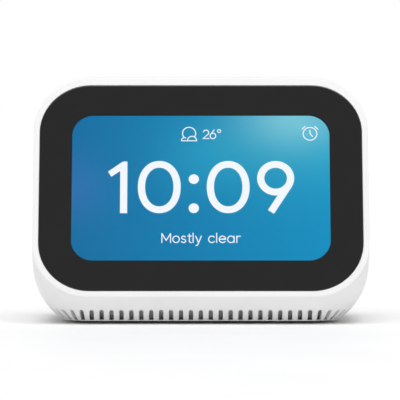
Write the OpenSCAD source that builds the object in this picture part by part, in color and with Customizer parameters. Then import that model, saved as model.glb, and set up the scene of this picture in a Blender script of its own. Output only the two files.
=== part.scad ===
// Bedside smart speaker with a 4 inch display: a white rounded housing with vent slots round
// its foot, a bonded glass front and a down-firing driver in a sealed chamber.
// The origin is the middle of the foot's underside, +Z is up and the display faces -Y.

/* [Housing] */
// Overall width of the housing
body_w = 112.3; // [112:0.1:114]
// Height of the housing's top above the surface it stands on
body_h = 82; // [81.5:0.1:82.5]
// How far the rounded back reaches behind the origin
back_depth = 34.2; // [34:0.1:36]
// Lean of the display face from upright, in degrees
face_tilt = 22; // [21:0.5:22.5]
// Wall thickness of the housing
wall = 2.2; // [2:0.1:2.3]
// Height of the housing's lower edge
edge_z = 1.0; // [0.8:0.1:1.2]
// Corner radius of the face outline
face_r = 18.8; // [18.6:0.1:20]
// Corner radius of the housing's underside, seen from the front
under_r = 22; // [21.6:0.2:23]

/* [Vent slots] */
// Number of slots round the foot
slot_count = 88; // [70:2:90]
// Width of one slot
slot_w = 1.45; // [1.2:0.05:1.6]
// Height of the slots' square lower ends
slot_z0 = 1.3; // [1.3:0.05:2]
// Height of the slots' rounded upper ends
slot_z1 = 4.85; // [4:0.05:5]

/* [Display] */
// Width of the cover glass
glass_w = 108; // [106:0.5:108.5]
// Height of the cover glass along the face
glass_h = 73; // [72:0.5:73.5]
// Corner radius of the cover glass
glass_r = 17; // [16:0.5:18]
// Thickness of the cover glass
glass_t = 1.1; // [0.9:0.1:1.1]
// Width of the display panel
panel_w = 92.8; // [90:0.2:94]
// Height of the display panel
panel_h = 57; // [56:0.2:57.4]

/* [Controls] */
// Distance of each volume button from the middle
button_x = 14; // [12:0.5:15]
// Length of a volume button
button_l = 12; // [10:0.5:12.5]
// Width of a volume button
button_w = 4.4; // [4:0.1:4.6]
// Travel of a volume button
button_travel = 0.5; // [0.3:0.05:0.5]
// Distance of each microphone from the middle
mic_x = 31; // [30:0.5:32]
// Full travel of the mute slider
mute_travel = 3; // [2:0.1:3]

/* [Speaker] */
// Outer diameter of the driver's flange
driver_d = 36; // [35:0.5:37]
// Travel of the cone each way
cone_travel = 0.8; // [0.4:0.1:0.8]

/* [Power] */
// Radius of the power inlet's bore
inlet_r = 2.75; // [2.6:0.05:2.8]
// Height of the power inlet's axis
inlet_z = 43; // [42.9:0.1:43.3]

/* [Hidden] */
$fn = 48;

// Housing form
top_z = body_h;
under_z = -2.65;
face_c = [-19.74, 45.21];
skirt_r = 18;
skirt_c = [-17.2, under_z + skirt_r];
pole_z = 23.75;
crown = 0.0166;
crown_start = 4.5;
cos_t = cos(face_tilt);
sin_t = sin(face_tilt);
side_round = 0.95;
top_round = 0.47;
skirt_round = 0.25;
cap_top_n = 1.9;
cap_under_n = 3.5;
cap_side_n = 4.5;
corner_steps = 8;
top_steps = 4;
side_steps = 3;
front_steps = 7;
cap_steps = 12;
far = 150;

// Display stack, as depths behind the face
ledge_depth = 2.9;
glue_t = 0.25;
film_t = 0.2;
panel_t = 1.6;
backlight_t = 1.9;
carrier_t = 1.5;
pcb_t = 1.6;
film_back = -(glass_t + film_t);
panel_back = film_back - panel_t;
backlight_back = panel_back - backlight_t;
carrier_back = backlight_back - carrier_t;
board_front = carrier_back - 2.7;
board_back = board_front - pcb_t;
board_v = [-3, 31];
ear_u = 51.6;
ear_v = 20;
ear_r = 2;
board_hole = [34.5, 12];
flex_t = 0.3;
touch_flex_t = 0.12;
flex_face = board_front + 1.2;
small_screw_r = 0.8;
small_head_r = 1.7;
small_head_t = 1.3;
small_hole_r = 1.05;

// Controls under the top
button_y = 1.5;
button_top = top_z - 0.2;
flange_z = top_z - 4.5;
flange_t = 0.9;
key_board_z = top_z - 9.5;
key_board_t = 1.0;
key_boss = [24, 6.5];
play = 0.25;
key_switch_h = 3;
plunger_r = 0.9;

// Mute slider, in the frame of the sloping back
mute_angle = 50;
knob_l = 5;
knob_w = 3.2;
knob_out = 0.6;
mute_board_z = -9.6;
mute_post_x = 11;

// Power inlet
jack_half = 4.5;
jack_y = [15.5, 26.5];
nose_r = 4;
nose_y = 30.4;
power_board_z = inlet_z - jack_half - pcb_t;
power_post = [[-13, 9], [13, 9], [-13, 24], [13, 24]];

// Driver and chamber
driver_y = 5.2;
driver_r = driver_d / 2;
chamber_x = 32;
chamber_y = [-13.5, 24];
chamber_z = [7, 34];
chamber_t = 2;
chamber_r = 8;
gasket_t = 0.5;
flange_low = 5.3;
mouth_r = driver_r - 2.4;
coil_r = [4.95, 5.35];
plate_z = [16.5, 18];
magnet_z = [18, 23];
yoke_top = 25;
cone_edge_r = 12.8;

// Base
cover_z = [1.2, 3.2];
cover_half = 41.3;
cover_y = [-23.8, 20.2];
cover_r = [7, 16.3];
lip_top = 4;
lip_t = 1.2;
cloth_z = [1.7, 5.6];
cloth_depth = [0.08, 0.4];
foot_inset = 2.1;
post_r = 3.2;
screw_r = 1.1;
head_r = 2.3;
head_z = [1.4, 2.8];
base_post = [[-35.5, -14], [35.5, -14], [-35.5, 11], [35.5, 11]];
chamber_post = [[-27, -10], [27, -10], [-27, 15], [27, 15]];
base_post_top = 8;
base_boss_top = 16;
rib_x = 52.4;
rib_z = [8.5, 11];

function mix(a, b, k) = a + (b - a) * k;
function squircle(a, n) = pow(pow(abs(cos(a)), n) + pow(abs(sin(a)), n), -1 / n);

// A point of the side view, at height v along the face and depth w in front of it
function face_point(v, w) = [face_c[0] + v * sin_t - w * cos_t, face_c[1] + v * cos_t + w * sin_t];

// Where the plane at depth w meets the crown, inset by d
function crown_v(w, d) = (top_z - d - crown * crown_start * crown_start - face_c[1] - w * sin_t) / cos_t;

// Where the plane at depth w meets the skirt's arc, inset by d
function skirt_v(w, d) =
    let (q = face_point(0, w) - skirt_c, b = -(q[0] * sin_t + q[1] * cos_t), r = skirt_r - d)
    b - sqrt(b * b - (q * q - r * r));

// The rounded end of a section: radius of its upper or lower corners in the back cap
function cap_r(r, half_h, a) = mix(r, 0.88 * half_h, pow(sin(a), 2));

// One section: [top point, lower point, half width, upper radius, lower radius]
function cap_section(a, d) =
    let (
        t = squircle(a, cap_top_n),
        u = squircle(a, cap_under_n),
        s = squircle(a, cap_side_n),
        deep = back_depth - d,
        top = [deep * sin(a) * t, pole_z + (top_z - d - pole_z) * cos(a) * t],
        low = [deep * sin(a) * u, pole_z - (pole_z - d - under_z) * cos(a) * u],
        half_h = norm(top - low) / 2
    )
    [top, low, (body_w / 2 - d) * cos(a) * s, cap_r(face_r - d, half_h, a), cap_r(under_r - d, half_h, a)];

// How far a lower point has come down the skirt, from 0 at the face to 1 at the underside
function skirt_share(low, d) =
    let (start = face_point(skirt_v(0, 0), 0)[1])
    min(1, max(0, (start - low[1] + d) / (start - under_z)));

// A section between the face and the origin, where the crown starts to fall
function front_section(k, w, d) =
    let (
        v_top = crown_v(w, d),
        v_low = skirt_v(w, d),
        y_top = face_point(v_top, w)[0],
        start = face_point(v_low, w) - skirt_c,
        a0 = atan2(start[1], start[0]) + 360,
        arc = (skirt_r - d) * (270 - a0) * PI / 180,
        flat = -skirt_c[0],
        run = mix(w == 0 ? skirt_round : 0, arc + flat, k),
        a = a0 + min(run, arc) / (skirt_r - d) * 180 / PI,
        y = mix(y_top + (w == 0 ? top_round / 2 : 0), 0, k),
        low = skirt_c + (skirt_r - d) * [cos(a), sin(a)] + [max(run - arc, 0), 0]
    )
    [[y, top_z - d - crown * y * y], low, body_w / 2 - d, face_r - d,
        mix(face_r, under_r, skirt_share(low, d)) - d];

function rounded_face(w, shrink) =
    let (v_top = crown_v(w, 0), v_low = skirt_v(w, 0))
    [face_point(v_top - shrink * top_round, w), face_point(v_low + shrink * skirt_round, w),
     body_w / 2 - shrink * side_round, face_r - shrink * side_round, face_r - shrink * side_round];

// Points round one section, in the order upper right, lower right, lower left, upper left
function corner(c, r, a0) = [for (i = [0:corner_steps]) c + r * [cos(a0 - 90 * i / corner_steps),
    sin(a0 - 90 * i / corner_steps)]];
function between(p, q, n) = [for (i = [1:n - 1]) mix(p, q, i / n)];
function ring(s) =
    let (
        h = norm(s[0] - s[1]) / 2, w = s[2], t = s[3], b = s[4],
        ur = corner([w - t, h - t], t, 90),
        lr = corner([w - b, b - h], b, 0),
        ll = corner([b - w, b - h], b, -90),
        ul = corner([t - w, h - t], t, -180),
        flat = concat(
            ur, between(ur[corner_steps], lr[0], side_steps),
            lr, between(lr[corner_steps], ll[0], top_steps),
            ll, between(ll[corner_steps], ul[0], side_steps),
            ul, between(ul[corner_steps], ur[0], top_steps)),
        mid = (s[0] + s[1]) / 2,
        up = (s[0] - s[1]) / norm(s[0] - s[1])
    )
    [for (p = flat) [p[0], mid[0] + up[0] * p[1], mid[1] + up[1] * p[1]]];
function ring_mix(a, b, c, k) = [for (i = [0:len(a) - 1])
    pow(1 - k, 2) * a[i] + 2 * k * (1 - k) * b[i] + k * k * c[i]];

// The closed solid inside a list of rings, with a flat fan over the first and a tip at the last
module skin(rings, tip) {
    n = len(rings[0]);
    m = len(rings);
    middle = (rings[0][0] + rings[0][floor(n / 2)]) / 2;
    points = concat([for (r = rings) each r], [tip, middle]);
    faces = concat(
        [for (i = [0:n - 1]) [m * n + 1, i, (i + 1) % n]],
        [for (j = [0:m - 2], i = [0:n - 1]) each [
            [j * n + i, (j + 1) * n + i, (j + 1) * n + (i + 1) % n],
            [j * n + i, (j + 1) * n + (i + 1) % n, j * n + (i + 1) % n]]],
        [for (i = [0:n - 1]) [(m - 1) * n + i, m * n, (m - 1) * n + (i + 1) % n]]);
    polyhedron(points, faces);
}

cap_angles = [for (i = [1:cap_steps - 1]) 90 * i / cap_steps];
function wall_rings(w, d) = concat(
    [for (i = [w == 0 ? 0 : 1:front_steps]) ring(front_section(i / front_steps, w, d))],
    [for (a = cap_angles) ring(cap_section(a, d))]);

module outer_form() {
    crease = ring(rounded_face(0, 1));
    sharp = ring(rounded_face(0, 0));
    walls = wall_rings(0, 0);
    rim = [for (k = [0, 0.35, 0.7]) ring_mix(crease, sharp, walls[0], k)];
    skin(concat(rim, walls), [0, back_depth, pole_z]);
}

// The outer form shrunk by d, which is its hollow where d is the wall
module inner_form(d) {
    w = -ledge_depth;
    first = [face_point(crown_v(w, d), w), face_point(skirt_v(w, d), w), body_w / 2 - d, face_r - d, face_r - d];
    skin(concat([ring(first)], wall_rings(w, d)), [0, back_depth - d, pole_z]);
}

// ---- shared shapes -----------------------------------------------------------------
module on_face(w) {
    translate([0, face_c[0], face_c[1]]) rotate([90 - face_tilt, 0, 0]) translate([0, 0, w]) children();
}

// Frame of the sloping back at the mute slider: local z points out, local x along X
mute_p = cap_section(mute_angle, 0)[0];
mute_q = cap_section(mute_angle - 1, 0)[0] - cap_section(mute_angle + 1, 0)[0];
module on_back(z) {
    translate([0, mute_p[0], mute_p[1]])
        rotate([atan2(-mute_q[0], mute_q[1]) - 90, 0, 0])
            translate([0, 0, z]) children();
}

module rounded(w, h, r) {
    square([w, h - 2 * r], center = true);
    square([w - 2 * r, h], center = true);
    for (x = [-1, 1], y = [-1, 1]) translate([x * (w / 2 - r), y * (h / 2 - r)]) circle(r);
}

module slab(w, h, r, t) {
    linear_extrude(t) rounded(w, h, r);
}

module pill(l, w, h) {
    linear_extrude(h) {
        square([l - w, w], center = true);
        for (s = [-1, 1]) translate([s * (l - w) / 2, 0]) circle(d = w);
    }
}

// A plan outline with its own front and rear corner radii
module foot_plan(half, y, r) {
    translate([-half, y[0] + r[0]]) square([2 * half, y[1] - y[0] - r[0] - r[1]]);
    translate([r[0] - half, y[0]]) square([2 * (half - r[0]), 2 * r[0]]);
    translate([r[1] - half, y[1] - 2 * r[1]]) square([2 * (half - r[1]), 2 * r[1]]);
    for (s = [-1, 1]) {
        translate([s * (half - r[0]), y[0] + r[0]]) circle(r[0]);
        translate([s * (half - r[1]), y[1] - r[1]]) circle(r[1]);
    }
}

module tube(r_out, r_in, z0, z1) {
    translate([0, 0, z0]) difference() {
        cylinder(h = z1 - z0, r = r_out);
        translate([0, 0, -1]) cylinder(h = z1 - z0 + 2, r = r_in);
    }
}

module box(x, y, z) {
    translate([x[0], y[0], z[0]]) cube([x[1] - x[0], y[1] - y[0], z[1] - z[0]]);
}

// A round wire along a list of points; side is a direction that the wire never runs along
function wire_ring(p, i, r, side) =
    let (t = p[min(i + 1, len(p) - 1)] - p[max(i - 1, 0)], n = unit(cross(t, side)), b = unit(cross(t, n)))
    [for (a = [0:45:315]) p[i] + r * (n * cos(a) + b * sin(a))];
function bend(p, i, k) =
    let (a = p[max(i - 1, 0)], b = p[i], c = p[i + 1], d = p[min(i + 2, len(p) - 1)])
    b + (c - a) * k / 2 + (2 * a - 5 * b + 4 * c - d) * k * k / 2 + (3 * b - a - 3 * c + d) * pow(k, 3) / 2;
module wire(points, d, side) {
    path = concat([for (i = [0:len(points) - 2], k = [0:0.25:0.75]) bend(points, i, k)],
        [points[len(points) - 1]]);
    m = len(path);
    rings = [for (i = [0:m - 1]) each wire_ring(path, i, d / 2, side)];
    polyhedron(concat(rings, [path[0], path[m - 1]]), concat(
        [for (i = [0:7]) each [[8 * m, (i + 1) % 8, i],
            [8 * m + 1, 8 * (m - 1) + i, 8 * (m - 1) + (i + 1) % 8]]],
        [for (j = [0:m - 2], i = [0:7]) each [
            [8 * j + i, 8 * j + (i + 1) % 8, 8 * (j + 1) + (i + 1) % 8],
            [8 * j + i, 8 * (j + 1) + (i + 1) % 8, 8 * (j + 1) + i]]]));
}

// Side profile of a flat flex along a list of points, t thick
function unit(v) = v / norm(v);
function left(v) = [-v[1], v[0]];
function flex_side(p, i, s) =
    let (a = unit(p[min(i + 1, len(p) - 1)] - p[min(i, len(p) - 2)]),
         b = unit(p[max(i, 1)] - p[max(i - 1, 0)]), n = unit(left(a) + left(b)))
    p[i] + n * s / (n * left(a));
module flex(p, t, width) {
    rotate([90, 0, 90]) translate([0, 0, -width / 2]) linear_extrude(width) polygon(concat(
        [for (i = [0:len(p) - 1]) flex_side(p, i, t / 2)],
        [for (i = [len(p) - 1:-1:0]) flex_side(p, i, -t / 2)]));
}

// A small screw whose head rests on the plane z_seat, with its thread running to z_tip
module screw(p, z_seat, z_tip) {
    translate([p[0], p[1], min(z_seat, z_tip)])
        cylinder(h = abs(z_tip - z_seat), r = small_screw_r, $fn = 24);
    translate([p[0], p[1], z_tip > z_seat ? z_seat - small_head_t : z_seat])
        cylinder(h = small_head_t, r = small_head_r, $fn = 24);
}

// ---- vent slots --------------------------------------------------------------------
slot_half = 49.5;
slot_y = [-30.5, 29];
slot_r = [11.5, 20];
slot_front = slot_half - slot_r[0];
slot_side = slot_y[1] - slot_y[0] - slot_r[0] - slot_r[1];
slot_back = slot_half - slot_r[1];
slot_turn = [PI / 2 * slot_r[0], PI / 2 * slot_r[1]];
slot_run = 2 * (slot_front + slot_turn[0] + slot_side + slot_turn[1] + slot_back);

// Place and heading on the right half of the slots' line, s from the middle of the front
function slot_place(s) =
    let (a = s - slot_front, b = a - slot_turn[0], c = b - slot_side, d = c - slot_turn[1])
    a <= 0 ? [s, slot_y[0], 0]
    : b <= 0 ? let (g = a / slot_r[0] * 180 / PI)
        [slot_front + slot_r[0] * sin(g), slot_y[0] + slot_r[0] * (1 - cos(g)), g]
    : c <= 0 ? [slot_half, slot_y[0] + slot_r[0] + b, 90]
    : d <= 0 ? let (g = c / slot_r[1] * 180 / PI)
        [slot_back + slot_r[1] * cos(g), slot_y[1] - slot_r[1] * (1 - sin(g)), 90 + g]
    : [slot_back - d, slot_y[1], 180];

module slot_cutter() {
    rotate([90, 0, 0]) linear_extrude(16, center = true) {
        translate([-slot_w / 2, slot_z0]) square([slot_w, slot_z1 - slot_z0 - slot_w / 2]);
        translate([0, slot_z1 - slot_w / 2]) circle(d = slot_w, $fn = 16);
    }
}

module slots() {
    pitch = slot_run / slot_count;
    for (i = [0:slot_count / 2]) {
        p = slot_place(i * pitch);
        translate([p[0], p[1], 0]) rotate([0, 0, p[2]]) slot_cutter();
        if (i > 0 && i < slot_count / 2)
            translate([-p[0], p[1], 0]) rotate([0, 0, -p[2]]) slot_cutter();
    }
}

// ---- housing and glass front ---------------------------------------------------------
module housing_bosses() {
    for (p = base_post) {
        translate([p[0], p[1], base_post_top]) cylinder(h = base_boss_top - base_post_top, r = post_r);
        box([min(p[0], sign(p[0]) * rib_x), max(p[0], sign(p[0]) * rib_x)], [p[1] - 1, p[1] + 1], rib_z);
    }
    for (s = [-1, 1])
        translate([s * key_boss[0], key_boss[1], key_board_z + key_board_t]) cylinder(h = 6.3, r = 2.2);
    on_face(backlight_back)
        for (x = [-1, 1], y = [-1, 1])
            translate([x * ear_u, y * ear_v, 0]) cylinder(h = -1.6 - backlight_back, r = ear_r);
    on_back(mute_board_z + key_board_t)
        for (s = [-1, 1]) translate([s * mute_post_x, 0, 0]) cylinder(h = 7.6, r = 1.8);
}

module housing_screw_holes() {
    for (p = base_post) translate([p[0], p[1], base_post_top - 1]) cylinder(h = 8, r = screw_r + 0.05);
    for (s = [-1, 1])
        translate([s * key_boss[0], key_boss[1], key_board_z]) cylinder(h = 5, r = 0.85);
    on_face(backlight_back - 1)
        for (x = [-1, 1], y = [-1, 1]) translate([x * ear_u, y * ear_v, 0]) cylinder(h = 2.6, r = 0.85);
    on_back(mute_board_z)
        for (s = [-1, 1]) translate([s * mute_post_x, 0, 0]) cylinder(h = 5, r = 0.85);
}

module housing() {
    color("white")
    difference() {
        union() {
            difference() {
                outer_form();
                inner_form(wall);
                translate([-far / 2, -far / 2, -far + edge_z]) cube(far);
                on_face(-(glass_t + glue_t)) slab(glass_w + 0.3, glass_h + 0.3, glass_r + 0.15, 5);
                on_face(-5) slab(glass_w - 4, glass_h - 4, glass_r - 2, 6);
                slots();
            }
            housing_bosses();
        }
        housing_screw_holes();
        for (s = [-1, 1]) {
            translate([s * button_x, button_y, flange_z])
                pill(button_l + 2 * play, button_w + 2 * play, 8);
            translate([s * mic_x, button_y, flange_z]) cylinder(h = 8, r = 0.5);
        }
        on_back(-4) pill(knob_l + mute_travel + 1.5, knob_w + 2 * play, 8);
        translate([0, jack_y[1], inlet_z]) rotate([-90, 0, 0]) cylinder(h = 12, r = nose_r + 0.3);
    }
}

module cover_glass() {
    color([0.02, 0.02, 0.025]) on_face(-glass_t) slab(glass_w, glass_h, glass_r, glass_t);
}

module display_adhesive() {
    color("black") on_face(-(glass_t + glue_t)) difference() {
        slab(glass_w - 0.6, glass_h - 0.6, glass_r - 0.3, glue_t);
        translate([0, 0, -1]) slab(glass_w - 3.6, glass_h - 3.6, glass_r - 1.8, 3);
    }
}

module touch_film() {
    color([0.25, 0.3, 0.32]) on_face(film_back) slab(panel_w + 1.2, panel_h + 1, 1.5, film_t);
}

module display_panel() {
    color([0.1, 0.45, 0.7]) on_face(panel_back) slab(panel_w, panel_h, 1, panel_t);
}

module backlight_unit() {
    color("gainsboro") on_face(backlight_back) slab(panel_w + 0.8, panel_h + 1.4, 1.2, backlight_t);
}

module display_carrier() {
    color([0.12, 0.12, 0.13]) difference() {
        union() {
            on_face(carrier_back) slab(panel_w + 6, panel_h + 2, 3, carrier_t);
            on_face(carrier_back) for (x = [-1, 1], y = [-1, 1]) {
                translate([x * ear_u, y * ear_v, 0]) cylinder(h = carrier_t, r = ear_r);
                translate([x * (ear_u - 2.5) - 2.5, y * ear_v - ear_r, 0]) cube([5, 2 * ear_r, carrier_t]);
            }
            on_face(board_front) for (x = [-1, 1], y = [0, 1])
                translate([x * board_hole[0], mix(board_v[0] + 4, board_v[1] - 4, y), 0])
                    cylinder(h = carrier_back - board_front + 0.5, r = 2);
        }
        on_face(board_front - 1) for (x = [-1, 1], y = [0, 1])
            translate([x * board_hole[0], mix(board_v[0] + 4, board_v[1] - 4, y), 0])
                cylinder(h = 3.8, r = 0.85);
        on_face(carrier_back - 1) for (x = [-1, 1], y = [-1, 1])
            translate([x * ear_u, y * ear_v, 0]) cylinder(h = carrier_t + 2, r = small_hole_r);
    }
}

module carrier_screws() {
    color("silver") on_face(0) for (x = [-1, 1], y = [-1, 1])
        screw([x * ear_u, y * ear_v], carrier_back, carrier_back + 3);
}

module light_sensor() {
    color("darkslategray") on_face(-glass_t - 0.9) translate([-2.5, 30.2, 0]) cube([5, 3, 0.9]);
}

module display_ribbon() {
    color("orange") on_face(0) flex([[-panel_h / 2, panel_back + 0.6], [-31, panel_back + 0.6],
        [-31, flex_face + flex_t / 2], [1.5, flex_face + flex_t / 2]], flex_t, 14);
}

module touch_ribbon() {
    half = touch_flex_t / 2;
    color("goldenrod") translate([28, 0, 0]) on_face(0) flex([[-(panel_h + 1) / 2, film_back + half],
        [-32.2, film_back + half], [-32.2, flex_face + half], [1.5, flex_face + half]], touch_flex_t, 8);
}

// ---- electronics -----------------------------------------------------------------------
module main_board() {
    color("darkgreen") difference() {
        on_face(board_back) translate([-38, board_v[0], 0]) cube([76, board_v[1] - board_v[0], pcb_t]);
        on_face(board_back - 1) for (x = [-1, 1], y = [0, 1])
            translate([x * board_hole[0], mix(board_v[0] + 4, board_v[1] - 4, y), 0])
                cylinder(h = pcb_t + 2, r = small_hole_r);
    }
}

module board_screws() {
    color("silver") on_face(0) for (x = [-1, 1], y = [0, 1])
        screw([x * board_hole[0], mix(board_v[0] + 4, board_v[1] - 4, y)], board_back, board_back + 3.6);
}

module processor_shield() {
    color("lightgray") on_face(board_back - 2.2) translate([-24, 4, 0]) difference() {
        cube([23, 21, 2.2]);
        translate([0.3, 0.3, 0.3]) cube([22.4, 20.4, 3]);
    }
}

module processor() {
    color([0.1, 0.1, 0.1]) on_face(board_back - 1.2) translate([-19, 8, 0]) cube([13, 13, 1.2]);
}

module memory_chip() {
    color([0.13, 0.13, 0.13]) on_face(board_back - 1.1) translate([2, 6, 0]) cube([8, 12, 1.1]);
}

module amplifier_chip() {
    color([0.15, 0.15, 0.15]) on_face(board_back - 0.9) translate([14, 3.5, 0]) cube([6, 6, 0.9]);
}

module radio_shield() {
    color("lightgray") on_face(board_back - 1.8) translate([13, 13, 0]) difference() {
        cube([15, 13, 1.8]);
        translate([0.3, 0.3, 0.3]) cube([14.4, 12.4, 3]);
    }
}

module heat_spreader() {
    color("silver") on_face(board_back - 3.7) translate([-27, 3, 0]) cube([29, 23, 1.5]);
}

module board_connectors() {
    color("ivory") {
        on_face(board_front) {
            translate([-8, -2, 0]) cube([16, 4, 1.2]);
            translate([23.5, -2, 0]) cube([9, 4, 1.2]);
        }
        on_face(board_back - 1.2) translate([-4, 26, 0]) cube([8, 3, 1.2]);
        on_face(board_back - 3) {
            translate([-17, -2, 0]) cube([7, 4, 3]);
            translate([18, -2, 0]) cube([6, 4, 3]);
        }
        on_face(board_back - 1) translate([31, 19, 0]) cylinder(h = 1, r = 1.3, $fn = 24);
    }
}

module wifi_antenna() {
    color("darkolivegreen") box([52.6, 53.4], [-4, 12], [42, 50]);
}

module antenna_cable() {
    p = face_point(19, board_back - 1.65);
    color("dimgray") wire([[52, 3, 46], [46, 3.5, 54], [31, p[0], p[1]]], 1.1, [0, 1, 0]);
}

module button_board() {
    color("darkgreen") difference() {
        box([-36, 36], [-0.6, 10], [key_board_z, key_board_z + key_board_t]);
        for (s = [-1, 1])
            translate([s * key_boss[0], key_boss[1], key_board_z - 1]) cylinder(h = 4, r = small_hole_r);
    }
}

module button_board_screws() {
    color("silver") for (s = [-1, 1])
        screw([s * key_boss[0], key_boss[1]], key_board_z, key_board_z + 4);
}

module button_switches() {
    z = key_board_z + key_board_t;
    color([0.2, 0.2, 0.22]) for (s = [-1, 1]) difference() {
        translate([s * button_x - 3, button_y - 1.8, z]) cube([6, 3.6, key_switch_h]);
        translate([s * button_x, button_y, z + key_switch_h - 1.1]) cylinder(h = 3, r = plunger_r + 0.2);
    }
}

module button_cap(side) {
    color("white") translate([side * button_x, button_y, flange_z]) {
        pill(button_l + 1.6, button_w + 1.6, flange_t);
        pill(button_l, button_w, button_top - flange_z);
    }
}

module button_plunger(side) {
    color("ivory") translate([side * button_x, button_y, flange_z - 1.4])
        cylinder(h = 1.4, r = plunger_r, $fn = 24);
}

module volume_up_button() { button_cap(1); }
module volume_down_button() { button_cap(-1); }
module volume_up_plunger() { button_plunger(1); }
module volume_down_plunger() { button_plunger(-1); }

module microphones() {
    z = key_board_z + key_board_t;
    color("gold") for (s = [-1, 1]) translate([s * mic_x - 1.75, button_y - 1.35, z]) cube([3.5, 2.7, 1]);
}

module microphone_gaskets() {
    z = key_board_z + key_board_t + 1;
    color([0.1, 0.1, 0.1]) for (s = [-1, 1]) translate([s * mic_x, button_y, 0]) tube(2, 0.6, z, top_z - 2.7);
}

module button_ribbon() {
    start = face_point(26.5, board_back - 1.2 - flex_t / 2);
    bend = face_point(30, board_back - 1.2 - flex_t / 2);
    below = key_board_z - flex_t / 2;
    color("orange") flex([start, bend, [6.2, key_board_z - 2.2], [7.5, below], [9.5, below]], flex_t, 6);
}

module mute_knob() {
    color("white") on_back(0) translate([-mute_travel / 2, 0, 0]) {
        translate([0, 0, -3.4]) pill(knob_l + mute_travel + 5.2, knob_w + 2.2, 0.8);
        translate([0, 0, -3.4]) pill(knob_l, knob_w, 3.4 + knob_out);
        translate([-0.8, -0.8, -5.6]) cube([1.6, 1.6, 2.5]);
    }
}

module mute_switch() {
    color([0.75, 0.75, 0.78]) on_back(mute_board_z + key_board_t) difference() {
        translate([-5, -2, 0]) cube([10, 4, 4]);
        translate([-(mute_travel + 2.4) / 2, -1.1, 2.6]) cube([mute_travel + 2.4, 2.2, 3]);
    }
}

module mute_board() {
    color("darkgreen") on_back(mute_board_z) difference() {
        translate([-13.5, -4, 0]) cube([27, 8, key_board_t]);
        for (s = [-1, 1]) translate([s * mute_post_x, 0, -1]) cylinder(h = 4, r = small_hole_r);
    }
}

module mute_board_screws() {
    color("silver") on_back(0) for (s = [-1, 1])
        screw([s * mute_post_x, 0], mute_board_z, mute_board_z + 4.4);
}

module power_jack() {
    color([0.08, 0.08, 0.08]) difference() {
        union() {
            box([-jack_half, jack_half], jack_y, [inlet_z - jack_half, inlet_z + jack_half]);
            translate([0, jack_y[1] - 1, inlet_z]) rotate([-90, 0, 0])
                cylinder(h = nose_y - jack_y[1] + 1, r = nose_r);
        }
        translate([0, nose_y - 10, inlet_z]) rotate([-90, 0, 0]) cylinder(h = 12, r = inlet_r);
    }
}

module jack_pin() {
    color("silver") translate([0, nose_y - 10, inlet_z]) rotate([-90, 0, 0]) cylinder(h = 9, r = 0.85, $fn = 24);
}

module power_board() {
    color("darkgreen") difference() {
        box([-16, 16], [6, 27], [power_board_z, power_board_z + pcb_t]);
        for (p = power_post) translate([p[0], p[1], power_board_z - 1]) cylinder(h = 4, r = small_hole_r);
    }
}

module power_board_screws() {
    color("silver") for (p = power_post)
        screw(p, power_board_z + pcb_t, power_board_z - 2.2);
}

module filter_capacitors() {
    color("midnightblue") for (x = [-9, 9])
        translate([x, 15, power_board_z + pcb_t]) cylinder(h = 6.5, r = 2.5);
}

module power_inductor() {
    color([0.2, 0.2, 0.2]) translate([7.5, 20.5, power_board_z + pcb_t]) slab(5, 5, 1, 3);
}

module power_wires() {
    p = face_point(0, board_back - 3);
    z = power_board_z + pcb_t;
    color("crimson") for (x = [-1.2, 1.2])
        wire([[x - 8, 9.5, z + 0.7], [x - 11, 2, z + 2.5], [x - 13.5, p[0] + 0.8, p[1]]], 1.2, [1, 0, 0]);
}

// ---- speaker -----------------------------------------------------------------------------
module on_driver() {
    translate([0, driver_y, 0]) children();
}

module speaker_chamber() {
    mid = (chamber_y[0] + chamber_y[1]) / 2;
    deep = chamber_y[1] - chamber_y[0];
    tall = chamber_z[1] - chamber_z[0];
    color([0.13, 0.13, 0.14]) difference() {
        union() {
            difference() {
                translate([0, mid, chamber_z[0]]) slab(2 * chamber_x, deep, chamber_r, tall);
                translate([0, mid, chamber_z[0] + chamber_t])
                    slab(2 * (chamber_x - chamber_t), deep - 2 * chamber_t, chamber_r - chamber_t,
                        tall - 2 * chamber_t);
                on_driver() cylinder(h = 20, r = mouth_r, $fn = 96);
            }
            for (p = chamber_post) translate([p[0], p[1], chamber_z[0]]) cylinder(h = 7, r = 2.6);
            for (p = power_post)
                translate([p[0], p[1], chamber_z[1] - 0.5])
                    cylinder(h = power_board_z - chamber_z[1] + 0.5, r = 2.2);
        }
        for (p = chamber_post) translate([p[0], p[1], chamber_z[0] - 1]) cylinder(h = 6.5, r = screw_r + 0.05);
        for (p = power_post) translate([p[0], p[1], chamber_z[1] + 0.2]) cylinder(h = 5, r = 0.85);
        translate([22, -6, chamber_z[1] - 5]) cylinder(h = 8, r = 1.6);
    }
}

module speaker_gasket() {
    color([0.15, 0.15, 0.15]) on_driver() tube(driver_r, mouth_r + 0.3, chamber_z[0] - gasket_t, chamber_z[0]);
}

module speaker_basket() {
    low = flange_low;
    high = chamber_z[0] - gasket_t;
    color([0.22, 0.22, 0.23]) on_driver() difference() {
        rotate_extrude($fn = 96) polygon([[14.6, low], [driver_r, low], [driver_r, high], [15.3, high], [10.5, 15.5],
            [10.5, plate_z[0]], [7.5, plate_z[0]], [7.5, 15.5], [9.4, 15.3], [9.9, 14.1], [9.4, 14.1], [9.4, 13.3],
            [10.6, 13.3], [14.2, high]]);
        for (a = [0:60:300]) rotate([0, 0, a + 30]) translate([11, 0, 10]) cube([8, 6, 4.4], center = true);
    }
}

module speaker_top_plate() {
    color("darkgray") on_driver() tube(10.5, 5.65, plate_z[0], plate_z[1]);
}

module speaker_magnet() {
    color([0.2, 0.2, 0.22]) on_driver() tube(11, 6.6, magnet_z[0], magnet_z[1]);
}

module speaker_yoke() {
    color("darkgray") on_driver() {
        translate([0, 0, magnet_z[1]]) cylinder(h = yoke_top - magnet_z[1], r = 11);
        translate([0, 0, plate_z[0]]) cylinder(h = magnet_z[1] - plate_z[0] + 0.5, r = 4.6);
    }
}

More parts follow.
